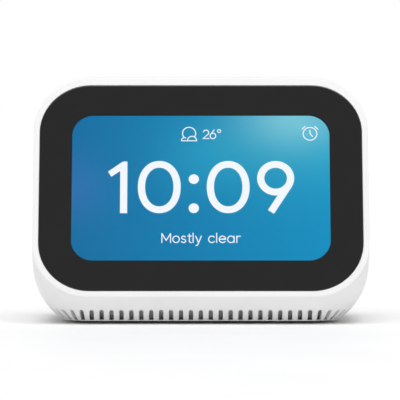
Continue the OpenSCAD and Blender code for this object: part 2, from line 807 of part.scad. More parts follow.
module voice_coil() {
    color("peru") on_driver() tube(coil_r[1], coil_r[0], 12.3, 20);
}

module speaker_cone() {
    color([0.1, 0.1, 0.11]) on_driver() rotate_extrude($fn = 96)
        polygon([[coil_r[1], 12.9], [coil_r[1], 12.3], [cone_edge_r, 6.7], [cone_edge_r, 7.2]]);
}

module speaker_dust_cap() {
    color([0.08, 0.08, 0.09]) on_driver() rotate_extrude() polygon([[0, 10.4], [2.2, 10.6], [4.2, 11.15],
        [6.1, 11.6], [5.2, 12.1], [3.9, 11.5], [2, 11], [0, 10.8]]);
}

module speaker_surround() {
    color([0.18, 0.18, 0.19]) on_driver() rotate_extrude($fn = 96) polygon([[cone_edge_r, 7.2], [cone_edge_r, 6.7],
        [13.1, 5.6], [13.8, 4.9], [14.6, 4.9], [16, 4.9], [16, flange_low], [14.3, flange_low], [13.6, 5.8]]);
}

module speaker_spider() {
    color("tan") on_driver() rotate_extrude() polygon([[coil_r[1], 12.9], [6.4, 12.9], [7, 12.6], [7.8, 12.9],
        [8.5, 12.6], [9.2, 12.9], [10.3, 12.9], [10.3, 13.3], [9.1, 13.3], [8.5, 13], [7.8, 13.3], [7, 13],
        [6.3, 13.3], [coil_r[1], 13.3]]);
}

module speaker_wires() {
    p = face_point(0, board_back - 3);
    color("black") for (x = [0, 1.4])
        wire([[x + 17.6, driver_y - 7, 10], [x + 20.6, -5, 14], [x + 21.3, -6, 30], [x + 21.3, -6, 37],
            [x + 20.2, p[0] + 0.8, p[1]]], 1, [1, 0, 0]);
}

// ---- base --------------------------------------------------------------------------------
module inner_plan(inset) {
    foot_plan(cover_half - inset, [cover_y[0] + inset, cover_y[1] - inset], [cover_r[0] - inset, cover_r[1] - inset]);
}

module base_cover() {
    color([0.93, 0.93, 0.93]) difference() {
        union() {
            translate([0, 0, cover_z[0]]) linear_extrude(cover_z[1] - cover_z[0])
                foot_plan(cover_half, cover_y, cover_r);
            translate([0, 0, cover_z[1] - 0.1]) linear_extrude(lip_top - cover_z[1] + 0.1) difference() {
                foot_plan(cover_half, cover_y, cover_r);
                inner_plan(lip_t);
            }
            for (p = base_post) translate([p[0], p[1], cover_z[0] + 1])
                cylinder(h = base_post_top - cover_z[0] - 1, r = post_r);
            for (p = chamber_post) translate([p[0], p[1], cover_z[0] + 1])
                cylinder(h = chamber_z[0] - cover_z[0] - 1, r = post_r);
        }
        for (p = concat(base_post, chamber_post)) translate([p[0], p[1], 0]) {
            cylinder(h = head_z[1], r = head_r + 0.2);
            cylinder(h = 12, r = screw_r + 0.25);
        }
    }
}

module base_screws() {
    color("dimgray") for (p = base_post) translate([p[0], p[1], 0]) {
        translate([0, 0, head_z[0]]) cylinder(h = head_z[1] - head_z[0], r = head_r);
        translate([0, 0, head_z[0]]) cylinder(h = 12.5, r = screw_r);
    }
}

module chamber_screws() {
    color("dimgray") for (p = chamber_post) translate([p[0], p[1], 0]) {
        translate([0, 0, head_z[0]]) cylinder(h = head_z[1] - head_z[0], r = head_r);
        translate([0, 0, head_z[0]]) cylinder(h = 10.5, r = screw_r);
    }
}

module rubber_foot() {
    color([0.2, 0.2, 0.2]) linear_extrude(cover_z[0]) inner_plan(foot_inset);
}

// Cloth that lines the wall behind the vent slots
module dust_cloth() {
    color("gainsboro") difference() {
        intersection() {
            inner_form(wall + cloth_depth[0]);
            translate([-far / 2, -far / 2, cloth_z[0]]) cube([far, far, cloth_z[1] - cloth_z[0]]);
        }
        inner_form(wall + cloth_depth[1]);
    }
}

housing();
cover_glass();
display_adhesive();
touch_film();
display_panel();
backlight_unit();
display_carrier();
carrier_screws();
light_sensor();
display_ribbon();
touch_ribbon();
main_board();
board_screws();
processor_shield();
processor();
memory_chip();
amplifier_chip();
radio_shield();
heat_spreader();
board_connectors();
wifi_antenna();
antenna_cable();
button_board();
button_board_screws();
button_switches();
volume_up_button();
volume_down_button();
volume_up_plunger();
volume_down_plunger();
microphones();
microphone_gaskets();
button_ribbon();
mute_knob();
mute_switch();
mute_board();
mute_board_screws();
power_jack();
jack_pin();
power_board();
power_board_screws();
filter_capacitors();
power_inductor();
power_wires();
speaker_chamber();
speaker_gasket();
speaker_basket();
speaker_top_plate();
speaker_magnet();
speaker_yoke();
voice_coil();
speaker_cone();
speaker_dust_cap();
speaker_surround();
speaker_spider();
speaker_wires();
base_cover();
base_screws();
chamber_screws();
rubber_foot();
dust_cloth();
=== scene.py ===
"""Looks of the bedside smart speaker: a white rounded housing with vent slots round its foot, a
bonded glass front with a lit clock display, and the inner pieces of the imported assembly."""

import math

import bmesh
import bpy
import numpy as np
from mathutils import Matrix, Vector
from mathutils.bvhtree import BVHTree


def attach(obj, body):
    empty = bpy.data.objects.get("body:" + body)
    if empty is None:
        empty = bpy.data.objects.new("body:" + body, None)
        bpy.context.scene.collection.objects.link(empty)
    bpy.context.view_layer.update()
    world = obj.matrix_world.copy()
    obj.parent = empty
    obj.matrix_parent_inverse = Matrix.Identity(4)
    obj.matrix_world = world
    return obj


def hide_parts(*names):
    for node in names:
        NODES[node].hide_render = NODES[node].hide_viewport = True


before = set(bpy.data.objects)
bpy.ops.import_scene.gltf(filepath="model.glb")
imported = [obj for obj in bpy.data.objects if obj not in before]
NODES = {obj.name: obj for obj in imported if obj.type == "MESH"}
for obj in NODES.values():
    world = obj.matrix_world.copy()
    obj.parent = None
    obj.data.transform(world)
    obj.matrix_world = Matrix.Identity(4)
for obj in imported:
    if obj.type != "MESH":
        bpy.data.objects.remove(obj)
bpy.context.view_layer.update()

# ---- design sizes, in millimetres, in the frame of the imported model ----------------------
MM = 0.001
BODY_W = 112.3
TOP_Z = 82.0
BACK = 34.2
POLE_Z = 23.75
UNDER_Z = -2.65
EDGE_Z = 1.0
WALL = 2.2
LEDGE = 2.9
FACE_R = 18.8
UNDER_R = 22.0
FACE_C = (-19.74, 45.21)
TILT = math.radians(22)
COS_T = math.cos(TILT)
SIN_T = math.sin(TILT)
SKIRT_R = 18.0
SKIRT_C = np.array([-17.2, UNDER_Z + SKIRT_R])
CROWN = 0.0166
CROWN_START = 4.5
SIDE_ROUND = 0.95
TOP_ROUND = 0.47
SKIRT_ROUND = 0.25
CAP_TOP_N = 1.9
CAP_UNDER_N = 3.5
CAP_SIDE_N = 4.5

GLASS = (108.0, 73.0)
GLASS_R = 17.0
GLASS_T = 1.1
GLASS_INDEX = 1.45
GAP = 0.15
LIT = (86.4, 51.84)
LIT_R = 7.2
FILM_BACK = -1.3

SLOT_HALF = 49.5
SLOT_Y = (-30.5, 29.0)
SLOT_R = (11.5, 20.0)
SLOT_W = 1.45
SLOT_Z = (1.3, 4.85)
SLOT_COUNT = 88

BUTTON_X = 14.0
BUTTON_Y = 1.5
BUTTON_L = 12.0
BUTTON_W = 4.4
BUTTON_TOP = TOP_Z - 0.2
FLANGE_Z = TOP_Z - 4.5
PLAY = 0.25
MIC_X = 31.0
MUTE_ANGLE = math.radians(50)
MUTE_TRAVEL = 3.0
KNOB_L = 5.0
KNOB_W = 3.2
KNOB_OUT = 0.6
INLET_Z = 43.0
NOSE_R = 4.0
SHOULDER = 0.88
FAR = 90
SOFT = 0.001
MANY = 24


# ---- the housing's form --------------------------------------------------------------------
def mix(a, b, k):
    """The value a share k of the way from a to b."""
    return a + (b - a) * k


def squircle(a, n):
    """Reach of a superellipse of power n at angle a."""
    return (abs(math.cos(a)) ** n + abs(math.sin(a)) ** n) ** (-1 / n)


def face_point(v, w):
    """A point of the side view, at height v along the face and depth w in front of it."""
    return np.array([FACE_C[0] + v * SIN_T - w * COS_T, FACE_C[1] + v * COS_T + w * SIN_T])


def crown_v(w, d):
    """Height along the face where it meets the top, at depth w and inset d."""
    return (TOP_Z - d - CROWN * CROWN_START**2 - FACE_C[1] - w * SIN_T) / COS_T


def skirt_v(w, d):
    """Height along the face where it meets the curve of the skirt, at depth w and inset d."""
    q = face_point(0, w) - SKIRT_C
    b = -(q[0] * SIN_T + q[1] * COS_T)
    return b - math.sqrt(b * b - (q @ q - (SKIRT_R - d) ** 2))


def cap_section(a, d):
    """A section behind the origin: top point, lower point, half width, upper and lower radius."""
    t = squircle(a, CAP_TOP_N)
    u = squircle(a, CAP_UNDER_N)
    half_w = (BODY_W / 2 - d) * math.cos(a) * squircle(a, CAP_SIDE_N)
    deep = BACK - d
    top = np.array([deep * math.sin(a) * t, POLE_Z + (TOP_Z - d - POLE_Z) * math.cos(a) * t])
    low = np.array([deep * math.sin(a) * u, POLE_Z - (POLE_Z - d - UNDER_Z) * math.cos(a) * u])
    half_h = np.linalg.norm(top - low) / 2
    share = math.sin(a) ** 2
    radii = [mix(r - d, SHOULDER * half_h, share) for r in (FACE_R, UNDER_R)]
    return top, low, half_w, radii[0], radii[1]


def front_section(k, w, d):
    """A section between the face, where k is 0, and the origin, where k is 1."""
    edge = 1 if w == 0 else 0
    y_top = face_point(crown_v(w, d), w)[0]
    start = face_point(skirt_v(w, d), w) - SKIRT_C
    a0 = math.atan2(start[1], start[0]) + 2 * math.pi
    radius = SKIRT_R - d
    arc = radius * (1.5 * math.pi - a0)
    run = mix(edge * SKIRT_ROUND, arc - SKIRT_C[0], k)
    a = a0 + min(run, arc) / radius
    y = mix(y_top + edge * TOP_ROUND / 2, 0, k)
    low = SKIRT_C + radius * np.array([math.cos(a), math.sin(a)]) + np.array([max(run - arc, 0), 0])
    first = face_point(skirt_v(0, 0), 0)[1]
    share = min(1, max(0, (first - low[1] + d) / (first - UNDER_Z)))
    top = np.array([y, TOP_Z - d - CROWN * y * y])
    return top, low, BODY_W / 2 - d, FACE_R - d, mix(FACE_R, UNDER_R, share) - d


def rounded_face(w, shrink):
    """The face's own outline; shrink is 1 at the start of its rounded edge and 0 at the sharp corner."""
    top = face_point(crown_v(w, 0) - shrink * TOP_ROUND, w)
    low = face_point(skirt_v(w, 0) + shrink * SKIRT_ROUND, w)
    r = FACE_R - shrink * SIDE_ROUND
    return top, low, BODY_W / 2 - shrink * SIDE_ROUND, r, r


CORNER_STEPS = 22
TOP_STEPS = 14
SIDE_STEPS = 9
RIM_STEPS = 5
OUTER_STEPS = (30, 52)
INNER_STEPS = (14, 26)


def between(p, q, n):
    """The n - 1 points that split the line from p to q into n parts."""
    return [mix(np.array(p), np.array(q), i / n) for i in range(1, n)]


def ring(section):
    """Points round one section of the housing."""
    top, low, w, t, b = section
    h = np.linalg.norm(top - low) / 2

    def corner(cx, cy, r, a0):
        angles = [math.radians(a0 - 90 * i / CORNER_STEPS) for i in range(CORNER_STEPS + 1)]
        return [np.array([cx + r * math.cos(a), cy + r * math.sin(a)]) for a in angles]

    corners = [
        corner(w - t, h - t, t, 90),
        corner(w - b, b - h, b, 0),
        corner(b - w, b - h, b, -90),
        corner(t - w, h - t, t, -180),
    ]
    flat = []
    for i, steps in enumerate((SIDE_STEPS, TOP_STEPS, SIDE_STEPS, TOP_STEPS)):
        flat += corners[i] + between(corners[i][-1], corners[(i + 1) % 4][0], steps)
    middle = (top + low) / 2
    up = (top - low) / np.linalg.norm(top - low)
    return np.array([(p[0], middle[0] + up[0] * p[1], middle[1] + up[1] * p[1]) for p in flat])


def wall_rings(w, d, front_steps, cap_steps):
    """Rings from the face to the back; the face's own ring is left out where w isn't 0."""
    first = 0 if w == 0 else 1
    sections = [front_section(i / front_steps, w, d) for i in range(first, front_steps + 1)]
    sections += [cap_section(math.pi / 2 * i / cap_steps, d) for i in range(1, cap_steps)]
    return [ring(s) for s in sections]


def outer_rings():
    crease = ring(rounded_face(0, 1))
    sharp = ring(rounded_face(0, 0))
    walls = wall_rings(0, 0, *OUTER_STEPS)
    rim = []
    for i in range(RIM_STEPS):
        k = i / RIM_STEPS
        rim.append((1 - k) ** 2 * crease + 2 * k * (1 - k) * sharp + k * k * walls[0])
    return rim + walls, np.array([0, BACK, POLE_Z])


def inner_rings():
    w = -LEDGE
    r = FACE_R - WALL
    top = face_point(crown_v(w, WALL), w)
    low = face_point(skirt_v(w, WALL), w)
    first = ring((top, low, BODY_W / 2 - WALL, r, r))
    return [first] + wall_rings(w, WALL, *INNER_STEPS), np.array([0, BACK - WALL, POLE_Z])


# ---- mesh helpers ----------------------------------------------------------------------------
def new_object(name, verts, faces):
    """A mesh object from points in millimetres."""
    mesh = bpy.data.meshes.new(name)
    mesh.from_pydata([tuple(float(x) * MM for x in v) for v in verts], [], faces)
    mesh.update()
    bm = bmesh.new()
    bm.from_mesh(mesh)
    bmesh.ops.recalc_face_normals(bm, faces=bm.faces)
    bm.to_mesh(mesh)
    bm.free()
    obj = bpy.data.objects.new(name, mesh)
    bpy.context.scene.collection.objects.link(obj)
    return obj


def skin(name, rings, tip=None):
    """The closed solid inside a list of rings, capped by a flat face at each end or by a tip."""
    n = len(rings[0])
    verts = [p for r in rings for p in r]
    faces = [list(range(n))]
    for j in range(len(rings) - 1):
        for i in range(n):
            k = (i + 1) % n
            faces.append([j * n + i, (j + 1) * n + i, (j + 1) * n + k, j * n + k])
    last = (len(rings) - 1) * n
    if tip is None:
        faces.append([last + i for i in reversed(range(n))])
    else:
        verts.append(tip)
        faces += [[last + i, len(verts) - 1, last + (i + 1) % n] for i in range(n)]
    return new_object(name, verts, faces)


def join(name, parts):
    """One object that holds the meshes of several."""
    bm = bmesh.new()
    for p in parts:
        bm.from_mesh(p.data)
        bpy.data.objects.remove(p)
    mesh = bpy.data.meshes.new(name)
    bm.to_mesh(mesh)
    bm.free()
    obj = bpy.data.objects.new(name, mesh)
    bpy.context.scene.collection.objects.link(obj)
    return obj


def boolean(target, other, operation="DIFFERENCE"):
    """Cuts other away from target, or adds it, and removes other."""
    modifier = target.modifiers.new("cut", "BOOLEAN")
    modifier.operation = operation
    modifier.solver = "MANIFOLD"
    modifier.object = other
    bpy.context.view_layer.update()
    evaluated = target.evaluated_get(bpy.context.evaluated_depsgraph_get())
    mesh = bpy.data.meshes.new_from_object(evaluated)
    target.modifiers.clear()
    old = target.data
    target.data = mesh
    bpy.data.meshes.remove(old)
    bpy.data.objects.remove(other)
    return target


def outline(w, h, r, steps=12):
    """Points round a rounded rectangle, anticlockwise."""
    points = []
    for cx, cy, a0 in ((1, 1, 0), (-1, 1, 90), (-1, -1, 180), (1, -1, 270)):
        for i in range(steps + 1):
            a = math.radians(a0 + 90 * i / steps)
            points.append((cx * (w / 2 - r) + r * math.cos(a), cy * (h / 2 - r) + r * math.sin(a)))
    return points


def circle(r, steps=32):
    turns = [2 * math.pi * i / steps for i in range(steps)]
    return [(r * math.cos(a), r * math.sin(a)) for a in turns]


def face_place():
    """Matrix from the face's own frame (right, up the face, outward) to the model's."""
    return Matrix(
        ((1, 0, 0, 0), (0, SIN_T, -COS_T, FACE_C[0]), (0, COS_T, SIN_T, FACE_C[1]), (0, 0, 0, 1))
    )


def back_place():
    """Matrix of the sloping back at the mute slider, with its third axis pointing out."""
    small = 0.02
    p = cap_section(MUTE_ANGLE, 0)[0]
    q = cap_section(MUTE_ANGLE - small, 0)[0] - cap_section(MUTE_ANGLE + small, 0)[0]
    up = q / np.linalg.norm(q)
    return Matrix(((1, 0, 0, 0), (0, up[0], up[1], p[0]), (0, up[1], -up[0], p[1]), (0, 0, 0, 1)))


def placed(place, loops):
    """Loops of (points, height) carried from a place's frame to the model's."""
    return [[place @ Vector((p[0], p[1], h)) for p in points] for points, h in loops]


def solid(name, place, loops):
    """The solid through loops given in a place's frame."""
    return skin(name, placed(place, loops))


def fillet(r, steps=3):
    """(inset, drop) along a rounded edge of radius r, from the wall to the top."""
    turns = [math.pi / 2 * i / steps for i in range(steps + 1)]
    return [(r * (1 - math.cos(a)), r * (1 - math.sin(a))) for a in turns]


def finish(obj, material, sharp):
    """Gives an object one material, and smooth shading but for edges sharper than that many degrees."""
    obj.data.materials.clear()
    obj.data.materials.append(material)
    obj.data.shade_smooth()
    obj.data.set_sharp_from_angle(angle=math.radians(sharp))


# ---- the housing ---------------------------------------------------------------------------------
class Surface:
    """The uncut outer form, for finding where a cutter meets it and how it is shaded there."""

    def __init__(self, obj):
        mesh = obj.data
        self.normals = [v.normal.copy() for v in mesh.vertices]
        self.faces = [tuple(p.vertices) for p in mesh.polygons]
        self.points = [v.co.copy() for v in mesh.vertices]
        self.tree = BVHTree.FromPolygons(self.points, self.faces)

    def depth(self, place, p, start):
        """Height in the place's frame where a line down its third axis meets the surface."""
        origin = place @ Vector((p[0], p[1], start))
        direction = place.to_3x3() @ Vector((0, 0, -1))
        hit = self.tree.ray_cast(origin * MM, direction)
        return start - hit[3] / MM

    def smooth_normal(self, point):
        """The smooth normal at the nearest point of the form, and how far away that is."""
        near, _, index, distance = self.tree.find_nearest(point)
        corners = self.faces[index]
        weights = [1 / max((self.points[i] - near).length, 1e-9) ** 2 for i in corners]
        normal = Vector((0, 0, 0))
        for i, weight in zip(corners, weights):
            normal += self.normals[i] * weight
        return normal.normalized(), distance


def flared(name, surface, place, shape, start, depth, flare):
    """A cutter that drills shape(offset) down a place's third axis, with a rounded mouth."""
    steps = 3
    proud = 0.004
    above = (flare + 0.01, -1.0)
    rims = []
    for i in range(steps + 1):
        turn = math.pi / 2 * i / steps
        rims.append((flare * (1 - math.sin(turn)), flare * (1 - math.cos(turn)) - proud))
    levels = [above] + rims + [(0, depth)]
    rings = []
    for offset, drop in levels:
        points = shape(offset)
        heights = [surface.depth(place, p, start) - drop for p in points]
        rings.append([place @ Vector((p[0], p[1], h)) for p, h in zip(points, heights)])
    return skin(name, rings)


def slot_shape(offset):
    """Outline of one vent slot: square at its foot and round at its head."""
    half = SLOT_W / 2 + offset
    low = SLOT_Z[0] - offset
    centre = SLOT_Z[1] - SLOT_W / 2
    turns = [math.pi * i / 10 for i in range(11)]
    head = [(half * math.cos(a), centre + half * math.sin(a)) for a in turns]
    side = [mix(low, centre, k / 3) for k in (1, 2)]
    left = [(-half, z) for z in reversed(side)]
    right = [(half, z) for z in side]
    return head + left + [(-half, low), (0, low), (half, low)] + right


def slot_places():
    """Matrices of the vent slots: local axes are along the line, up, and out of the housing."""
    front = SLOT_HALF - SLOT_R[0]
    turns = [math.pi / 2 * r for r in SLOT_R]
    side = SLOT_Y[1] - SLOT_Y[0] - SLOT_R[0] - SLOT_R[1]
    back = SLOT_HALF - SLOT_R[1]
    pitch = 2 * (front + turns[0] + side + turns[1] + back) / SLOT_COUNT
    places = []
    for i in range(SLOT_COUNT // 2 + 1):
        s = i * pitch
        a = s - front
        b = a - turns[0]
        c = b - side
        d = c - turns[1]
        if a <= 0:
            x, y, heading = s, SLOT_Y[0], 0
        elif b <= 0:
            heading = a / SLOT_R[0]
            x = front + SLOT_R[0] * math.sin(heading)
            y = SLOT_Y[0] + SLOT_R[0] * (1 - math.cos(heading))
        elif c <= 0:
            x, y, heading = SLOT_HALF, SLOT_Y[0] + SLOT_R[0] + b, math.pi / 2
        elif d <= 0:
            turn = c / SLOT_R[1]
            heading = math.pi / 2 + turn
            x = back + SLOT_R[1] * math.cos(turn)
            y = SLOT_Y[1] - SLOT_R[1] * (1 - math.sin(turn))
        else:
            x, y, heading = back - d, SLOT_Y[1], math.pi
        sides = (1, -1) if 0 < i < SLOT_COUNT // 2 else (1,)
        for side_sign in sides:
            along = (math.cos(heading), side_sign * math.sin(heading))
            out = (side_sign * math.sin(heading), -math.cos(heading))
            rows = (
                (along[0], 0, out[0], side_sign * x),
                (along[1], 0, out[1], y),
                (0, 1, 0, 0),
                (0, 0, 0, 1),
            )
            places.append(Matrix(rows))
    return places


def cut_slots(body, surface):
    start = 12
    depth = 5.2
    flare = 0.12
    cutters = [flared("slot", surface, place, slot_shape, start, depth, flare) for place in slot_places()]
    boolean(body, join("slots", cutters))


def shade(body, surface):
    """Shades the outer faces as the uncut form is, so that no cut leaves a streak."""
    near = 2e-6
    aligned = 0.985
    mesh = body.data
    mesh.shade_smooth()
    mesh.set_sharp_from_angle(angle=math.radians(32))
    normals = [Vector(n.vector) for n in mesh.corner_normals]
    face_of_corner = np.zeros(len(mesh.loops), int)
    for polygon in mesh.polygons:
        for i in polygon.loop_indices:
            face_of_corner[i] = polygon.index
    known = {}
    for i, loop in enumerate(mesh.loops):
        v = loop.vertex_index
        if v not in known:
            known[v] = surface.smooth_normal(mesh.vertices[v].co)
        normal, distance = known[v]
        face_normal = mesh.polygons[face_of_corner[i]].normal
        if distance < near and normal.dot(face_normal) > aligned:
            normals[i] = normal
    mesh.normals_split_custom_set(normals)


def cut_face(body):
    """Cuts the pocket that holds the glass, with a chamfered mouth, and the window behind it."""
    face = face_place()
    chamfer = 0.12
    floor = -GLASS_T - 0.25
    above = 4
    behind = -5
    frame_w = 2

    def rim(offset):
        grow = 2 * (GAP + offset)
        return outline(GLASS[0] + grow, GLASS[1] + grow, GLASS_R + GAP + offset, MANY)

    pocket = [(rim(0), floor), (rim(0), -chamfer), (rim(chamfer), 0.01), (rim(chamfer), above)]
    boolean(body, solid("pocket", face, pocket))
    hole = outline(GLASS[0] - 2 * frame_w, GLASS[1] - 2 * frame_w, GLASS_R - frame_w, MANY)
    boolean(body, solid("window", face, [(hole, behind), (hole, 1)]))


def key_hole(offset):
    w = BUTTON_W + 2 * (PLAY + offset)
    return outline(BUTTON_L - BUTTON_W + w, w, w / 2 - SOFT)


def mic_hole(offset):
    return circle(0.5 + offset)


def mute_slot(offset):
    spare = 1.5
    w = KNOB_W + 2 * (PLAY + offset)
    return outline(KNOB_L + MUTE_TRAVEL + spare + 2 * offset, w, w / 2 - SOFT)


def inlet_hole(offset):
    return circle(NOSE_R + 0.3 + offset, 48)


def cut_controls(body, surface):
    """Cuts the holes of the keys, the microphones, the mute slider and the inlet."""
    cutters = []
    for s in (-1, 1):
        place = Matrix.Translation((s * BUTTON_X, BUTTON_Y, 0))
        cutters.append(flared("key_hole", surface, place, key_hole, FAR, 6, 0.25))
        place = Matrix.Translation((s * MIC_X, BUTTON_Y, 0))
        cutters.append(flared("mic_hole", surface, place, mic_hole, FAR, 6, 0.15))
    cutters.append(flared("mute_slot", surface, back_place(), mute_slot, 10, 5, 0.25))
    inlet = Matrix(((-1, 0, 0, 0), (0, 0, 1, 0), (0, 1, 0, INLET_Z), (0, 0, 0, 1)))
    cutters.append(flared("inlet", surface, inlet, inlet_hole, 60, 8, 0.35))
    boolean(body, join("holes", cutters))


def build_housing():
    """The white shell: its form, hollowed, open below, and cut for the glass, slots and controls."""
    rings, tip = outer_rings()
    body = skin("housing_shell", rings, tip)
    surface = Surface(body)
    rings, tip = inner_rings()
    boolean(body, skin("hollow", rings, tip))
    square = [(-FAR, -FAR), (FAR, -FAR), (FAR, FAR), (-FAR, FAR)]
    boolean(body, solid("below", Matrix.Identity(4), [(square, EDGE_Z - FAR), (square, EDGE_Z)]))
    cut_face(body)
    cut_slots(body, surface)
    cut_controls(body, surface)
    shade(body, surface)
    body.data.materials.clear()
    body.data.materials.append(white_plastic)
    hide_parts("housing")
    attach(body, "case")


# ---- materials -----------------------------------------------------------------------------------
class Paint:
    """A node material built round one Principled shader."""

    def __init__(self, name, **values):
        self.material = bpy.data.materials.new(name)
        self.material.use_nodes = True
        self.nodes = self.material.node_tree.nodes
        self.links = self.material.node_tree.links
        self.shader = self.nodes["Principled BSDF"]
        for key, value in values.items():
            socket = self.shader.inputs[key.replace("_", " ")]
            socket.default_value = (*value, 1) if isinstance(value, tuple) and len(value) == 3 else value
        self.coords = self.nodes.new("ShaderNodeTexCoord").outputs["Object"]

    def node(self, kind, inputs=(), **settings):
        made = self.nodes.new(kind)
        for key, value in settings.items():
            setattr(made, key, value)
        for key, value in dict(inputs).items():
            if isinstance(value, bpy.types.NodeSocket):
                self.links.new(value, made.inputs[key])
            else:
                made.inputs[key].default_value = value
        return made

    def noise(self, size, detail=3.0, roughness=0.55, stretch=None):
        """Noise whose features are about size metres across."""
        vector = self.coords
        if stretch:
            mapping = self.node("ShaderNodeMapping", {"Vector": self.coords, "Scale": stretch})
            vector = mapping.outputs["Vector"]
        inputs = {"Vector": vector, "Scale": 1 / size, "Detail": detail, "Roughness": roughness}
        return self.node("ShaderNodeTexNoise", inputs).outputs["Fac"]

    def math(self, operation, a, b=0.0):
        made = self.nodes.new("ShaderNodeMath")
        made.operation = operation
        for socket, value in zip(made.inputs, (a, b)):
            if isinstance(value, bpy.types.NodeSocket):
                self.links.new(value, socket)
            else:
                socket.default_value = value
        return made.outputs[0]

    def spread(self, value, low, high, start=0.3, end=0.7):
        """The value, stretched from start..end to low..high."""
        inputs = {"Value": value, "From Min": start, "From Max": end, "To Min": low, "To Max": high}
        return self.node("ShaderNodeMapRange", inputs).outputs["Result"]

    def blend(self, factor, a, b, kind="MIX"):
        """Colour b laid over colour a by a factor."""
        made = self.nodes.new("ShaderNodeMix")
        made.data_type = "RGBA"
        made.blend_type = kind
        for index, value in ((0, factor), (6, a), (7, b)):
            if isinstance(value, bpy.types.NodeSocket):
                self.links.new(value, made.inputs[index])
            elif index == 0:
                made.inputs[index].default_value = value
            else:
                made.inputs[index].default_value = (*value, 1)
        return made.outputs[2]

    def use(self, key, output):
        self.links.new(output, self.shader.inputs[key])

    def bump(self, height, distance, strength=1.0):
        inputs = {"Height": height, "Distance": distance, "Strength": strength}
        self.use("Normal", self.node("ShaderNodeBump", inputs).outputs["Normal"])


def plastic(name, colour, roughness, grain=0.0003, depth=0.000006, variation=0.03):
    """Moulded plastic: a fine spark-eroded grain, and a faint drift of colour and sheen."""
    p = Paint(name)
    drift = p.noise(0.02, 2)
    low = tuple(c * (1 - variation) for c in colour)
    p.use("Base Color", p.blend(p.spread(drift, 0, 1), low, colour))
    p.use("Roughness", p.spread(p.noise(0.004, 4), roughness - 0.04, roughness + 0.04))
    p.bump(p.noise(grain, 2), depth)
    return p.material


def rubber(name, colour):
    p = Paint(name, Roughness=0.8, Specular_IOR_Level=0.3)
    p.use("Base Color", p.blend(p.spread(p.noise(0.003, 5), 0, 1), tuple(c * 0.7 for c in colour), colour))
    p.use("Roughness", p.spread(p.noise(0.001, 3), 0.7, 0.9))
    p.bump(p.noise(0.0004, 3), 0.00003)
    return p.material


def metal(name, colour, roughness, brushed=(1, 1, 1), depth=0.000008):
    """Bare metal with faint machining marks, stretched along one axis."""
    p = Paint(name, Metallic=1.0)
    marks = p.noise(0.0008, 5, 0.65, brushed)
    p.use("Base Color", p.blend(p.spread(marks, 0, 1), tuple(c * 0.85 for c in colour), colour))
    p.use("Roughness", p.spread(marks, roughness - 0.08, roughness + 0.1))
    p.bump(marks, depth)
    return p.material


def circuit_board(name):
    """Green solder mask over faint copper traces."""
    p = Paint(name, Roughness=0.35, Coat_Weight=0.4)
    vector = p.node("ShaderNodeMapping", {"Vector": p.coords, "Scale": (1, 1.4, 1.2)}).outputs["Vector"]
    cells = p.node(
        "ShaderNodeTexVoronoi",
        {"Vector": vector, "Scale": 420.0, "Randomness": 0.75},
        distance="MANHATTAN",
        feature="DISTANCE_TO_EDGE",
    )
    traces = p.spread(cells.outputs["Distance"], 1, 0, 0.04, 0.09)
    p.use("Base Color", p.blend(traces, (0.012, 0.11, 0.045), (0.05, 0.24, 0.08)))
    p.bump(traces, 0.00004)
    return p.material


def chip(name):
    p = Paint(name)
    speck = p.noise(0.00025, 4)
    p.use("Base Color", p.blend(p.spread(speck, 0, 1), (0.012, 0.012, 0.013), (0.03, 0.03, 0.032)))
    p.use("Roughness", p.spread(speck, 0.5, 0.7))
    p.bump(speck, 0.00001)
    return p.material


def flex_film(name):
    """Amber polyimide with the darker shadow of its copper lines."""
    p = Paint(name, Coat_Weight=0.3)
    wave = p.node(
        "ShaderNodeTexWave",
        {"Vector": p.coords, "Scale": 260.0, "Distortion": 0.0},
        bands_direction="X",
    )
    lines = p.spread(wave.outputs["Fac"], 0, 1, 0.4, 0.6)
    p.use("Base Color", p.blend(lines, (0.42, 0.17, 0.02), (0.62, 0.30, 0.05)))
    p.use("Roughness", p.spread(p.noise(0.002, 3), 0.25, 0.4))
    p.bump(lines, 0.00002)
    return p.material


def woven(name, colour, size=0.0006):
    """Woven or pulped sheet, as of a cone or a spider."""
    p = Paint(name, Roughness=0.9)
    fibres = p.noise(size, 6, 0.7)
    p.use("Base Color", p.blend(p.spread(fibres, 0, 1), tuple(c * 0.6 for c in colour), colour))
    p.use("Roughness", p.spread(fibres, 0.75, 0.95))
    p.bump(fibres, 0.00006)
    return p.material


def windings(name, colour):
    """Fine wire wound round the driver's axis."""
    p = Paint(name, Metallic=0.8)
    wave = p.node("ShaderNodeTexWave", {"Vector": p.coords, "Scale": 900.0}, bands_direction="Z")
    turns = wave.outputs["Fac"]
    p.use("Base Color", p.blend(turns, tuple(c * 0.5 for c in colour), colour))
    p.use("Roughness", p.spread(turns, 0.45, 0.3))
    p.bump(turns, 0.00003)
    return p.material


def clear_glass(name, index):
    """Clear glass with a faint drift of tint; a face bonded to what lies behind it has index 1."""
    p = Paint(name, Transmission_Weight=1.0, IOR=index, Roughness=0.0)
    p.use("Base Color", p.blend(p.spread(p.noise(0.012, 3), 0, 1), (0.985, 0.99, 0.99), (1, 1, 1)))
    return p.material


def black_border():
    """The gloss of the glass over its opaque black print."""
    p = Paint("black_printed_glass", IOR=GLASS_INDEX)
    drift = p.spread(p.noise(0.006, 3), 0, 1)
    p.use("Base Color", p.blend(drift, (0.0048, 0.0048, 0.0048), (0.0056, 0.0056, 0.0057)))
    p.use("Roughness", p.spread(p.noise(0.015, 3), 0.02, 0.05))
    return p.material


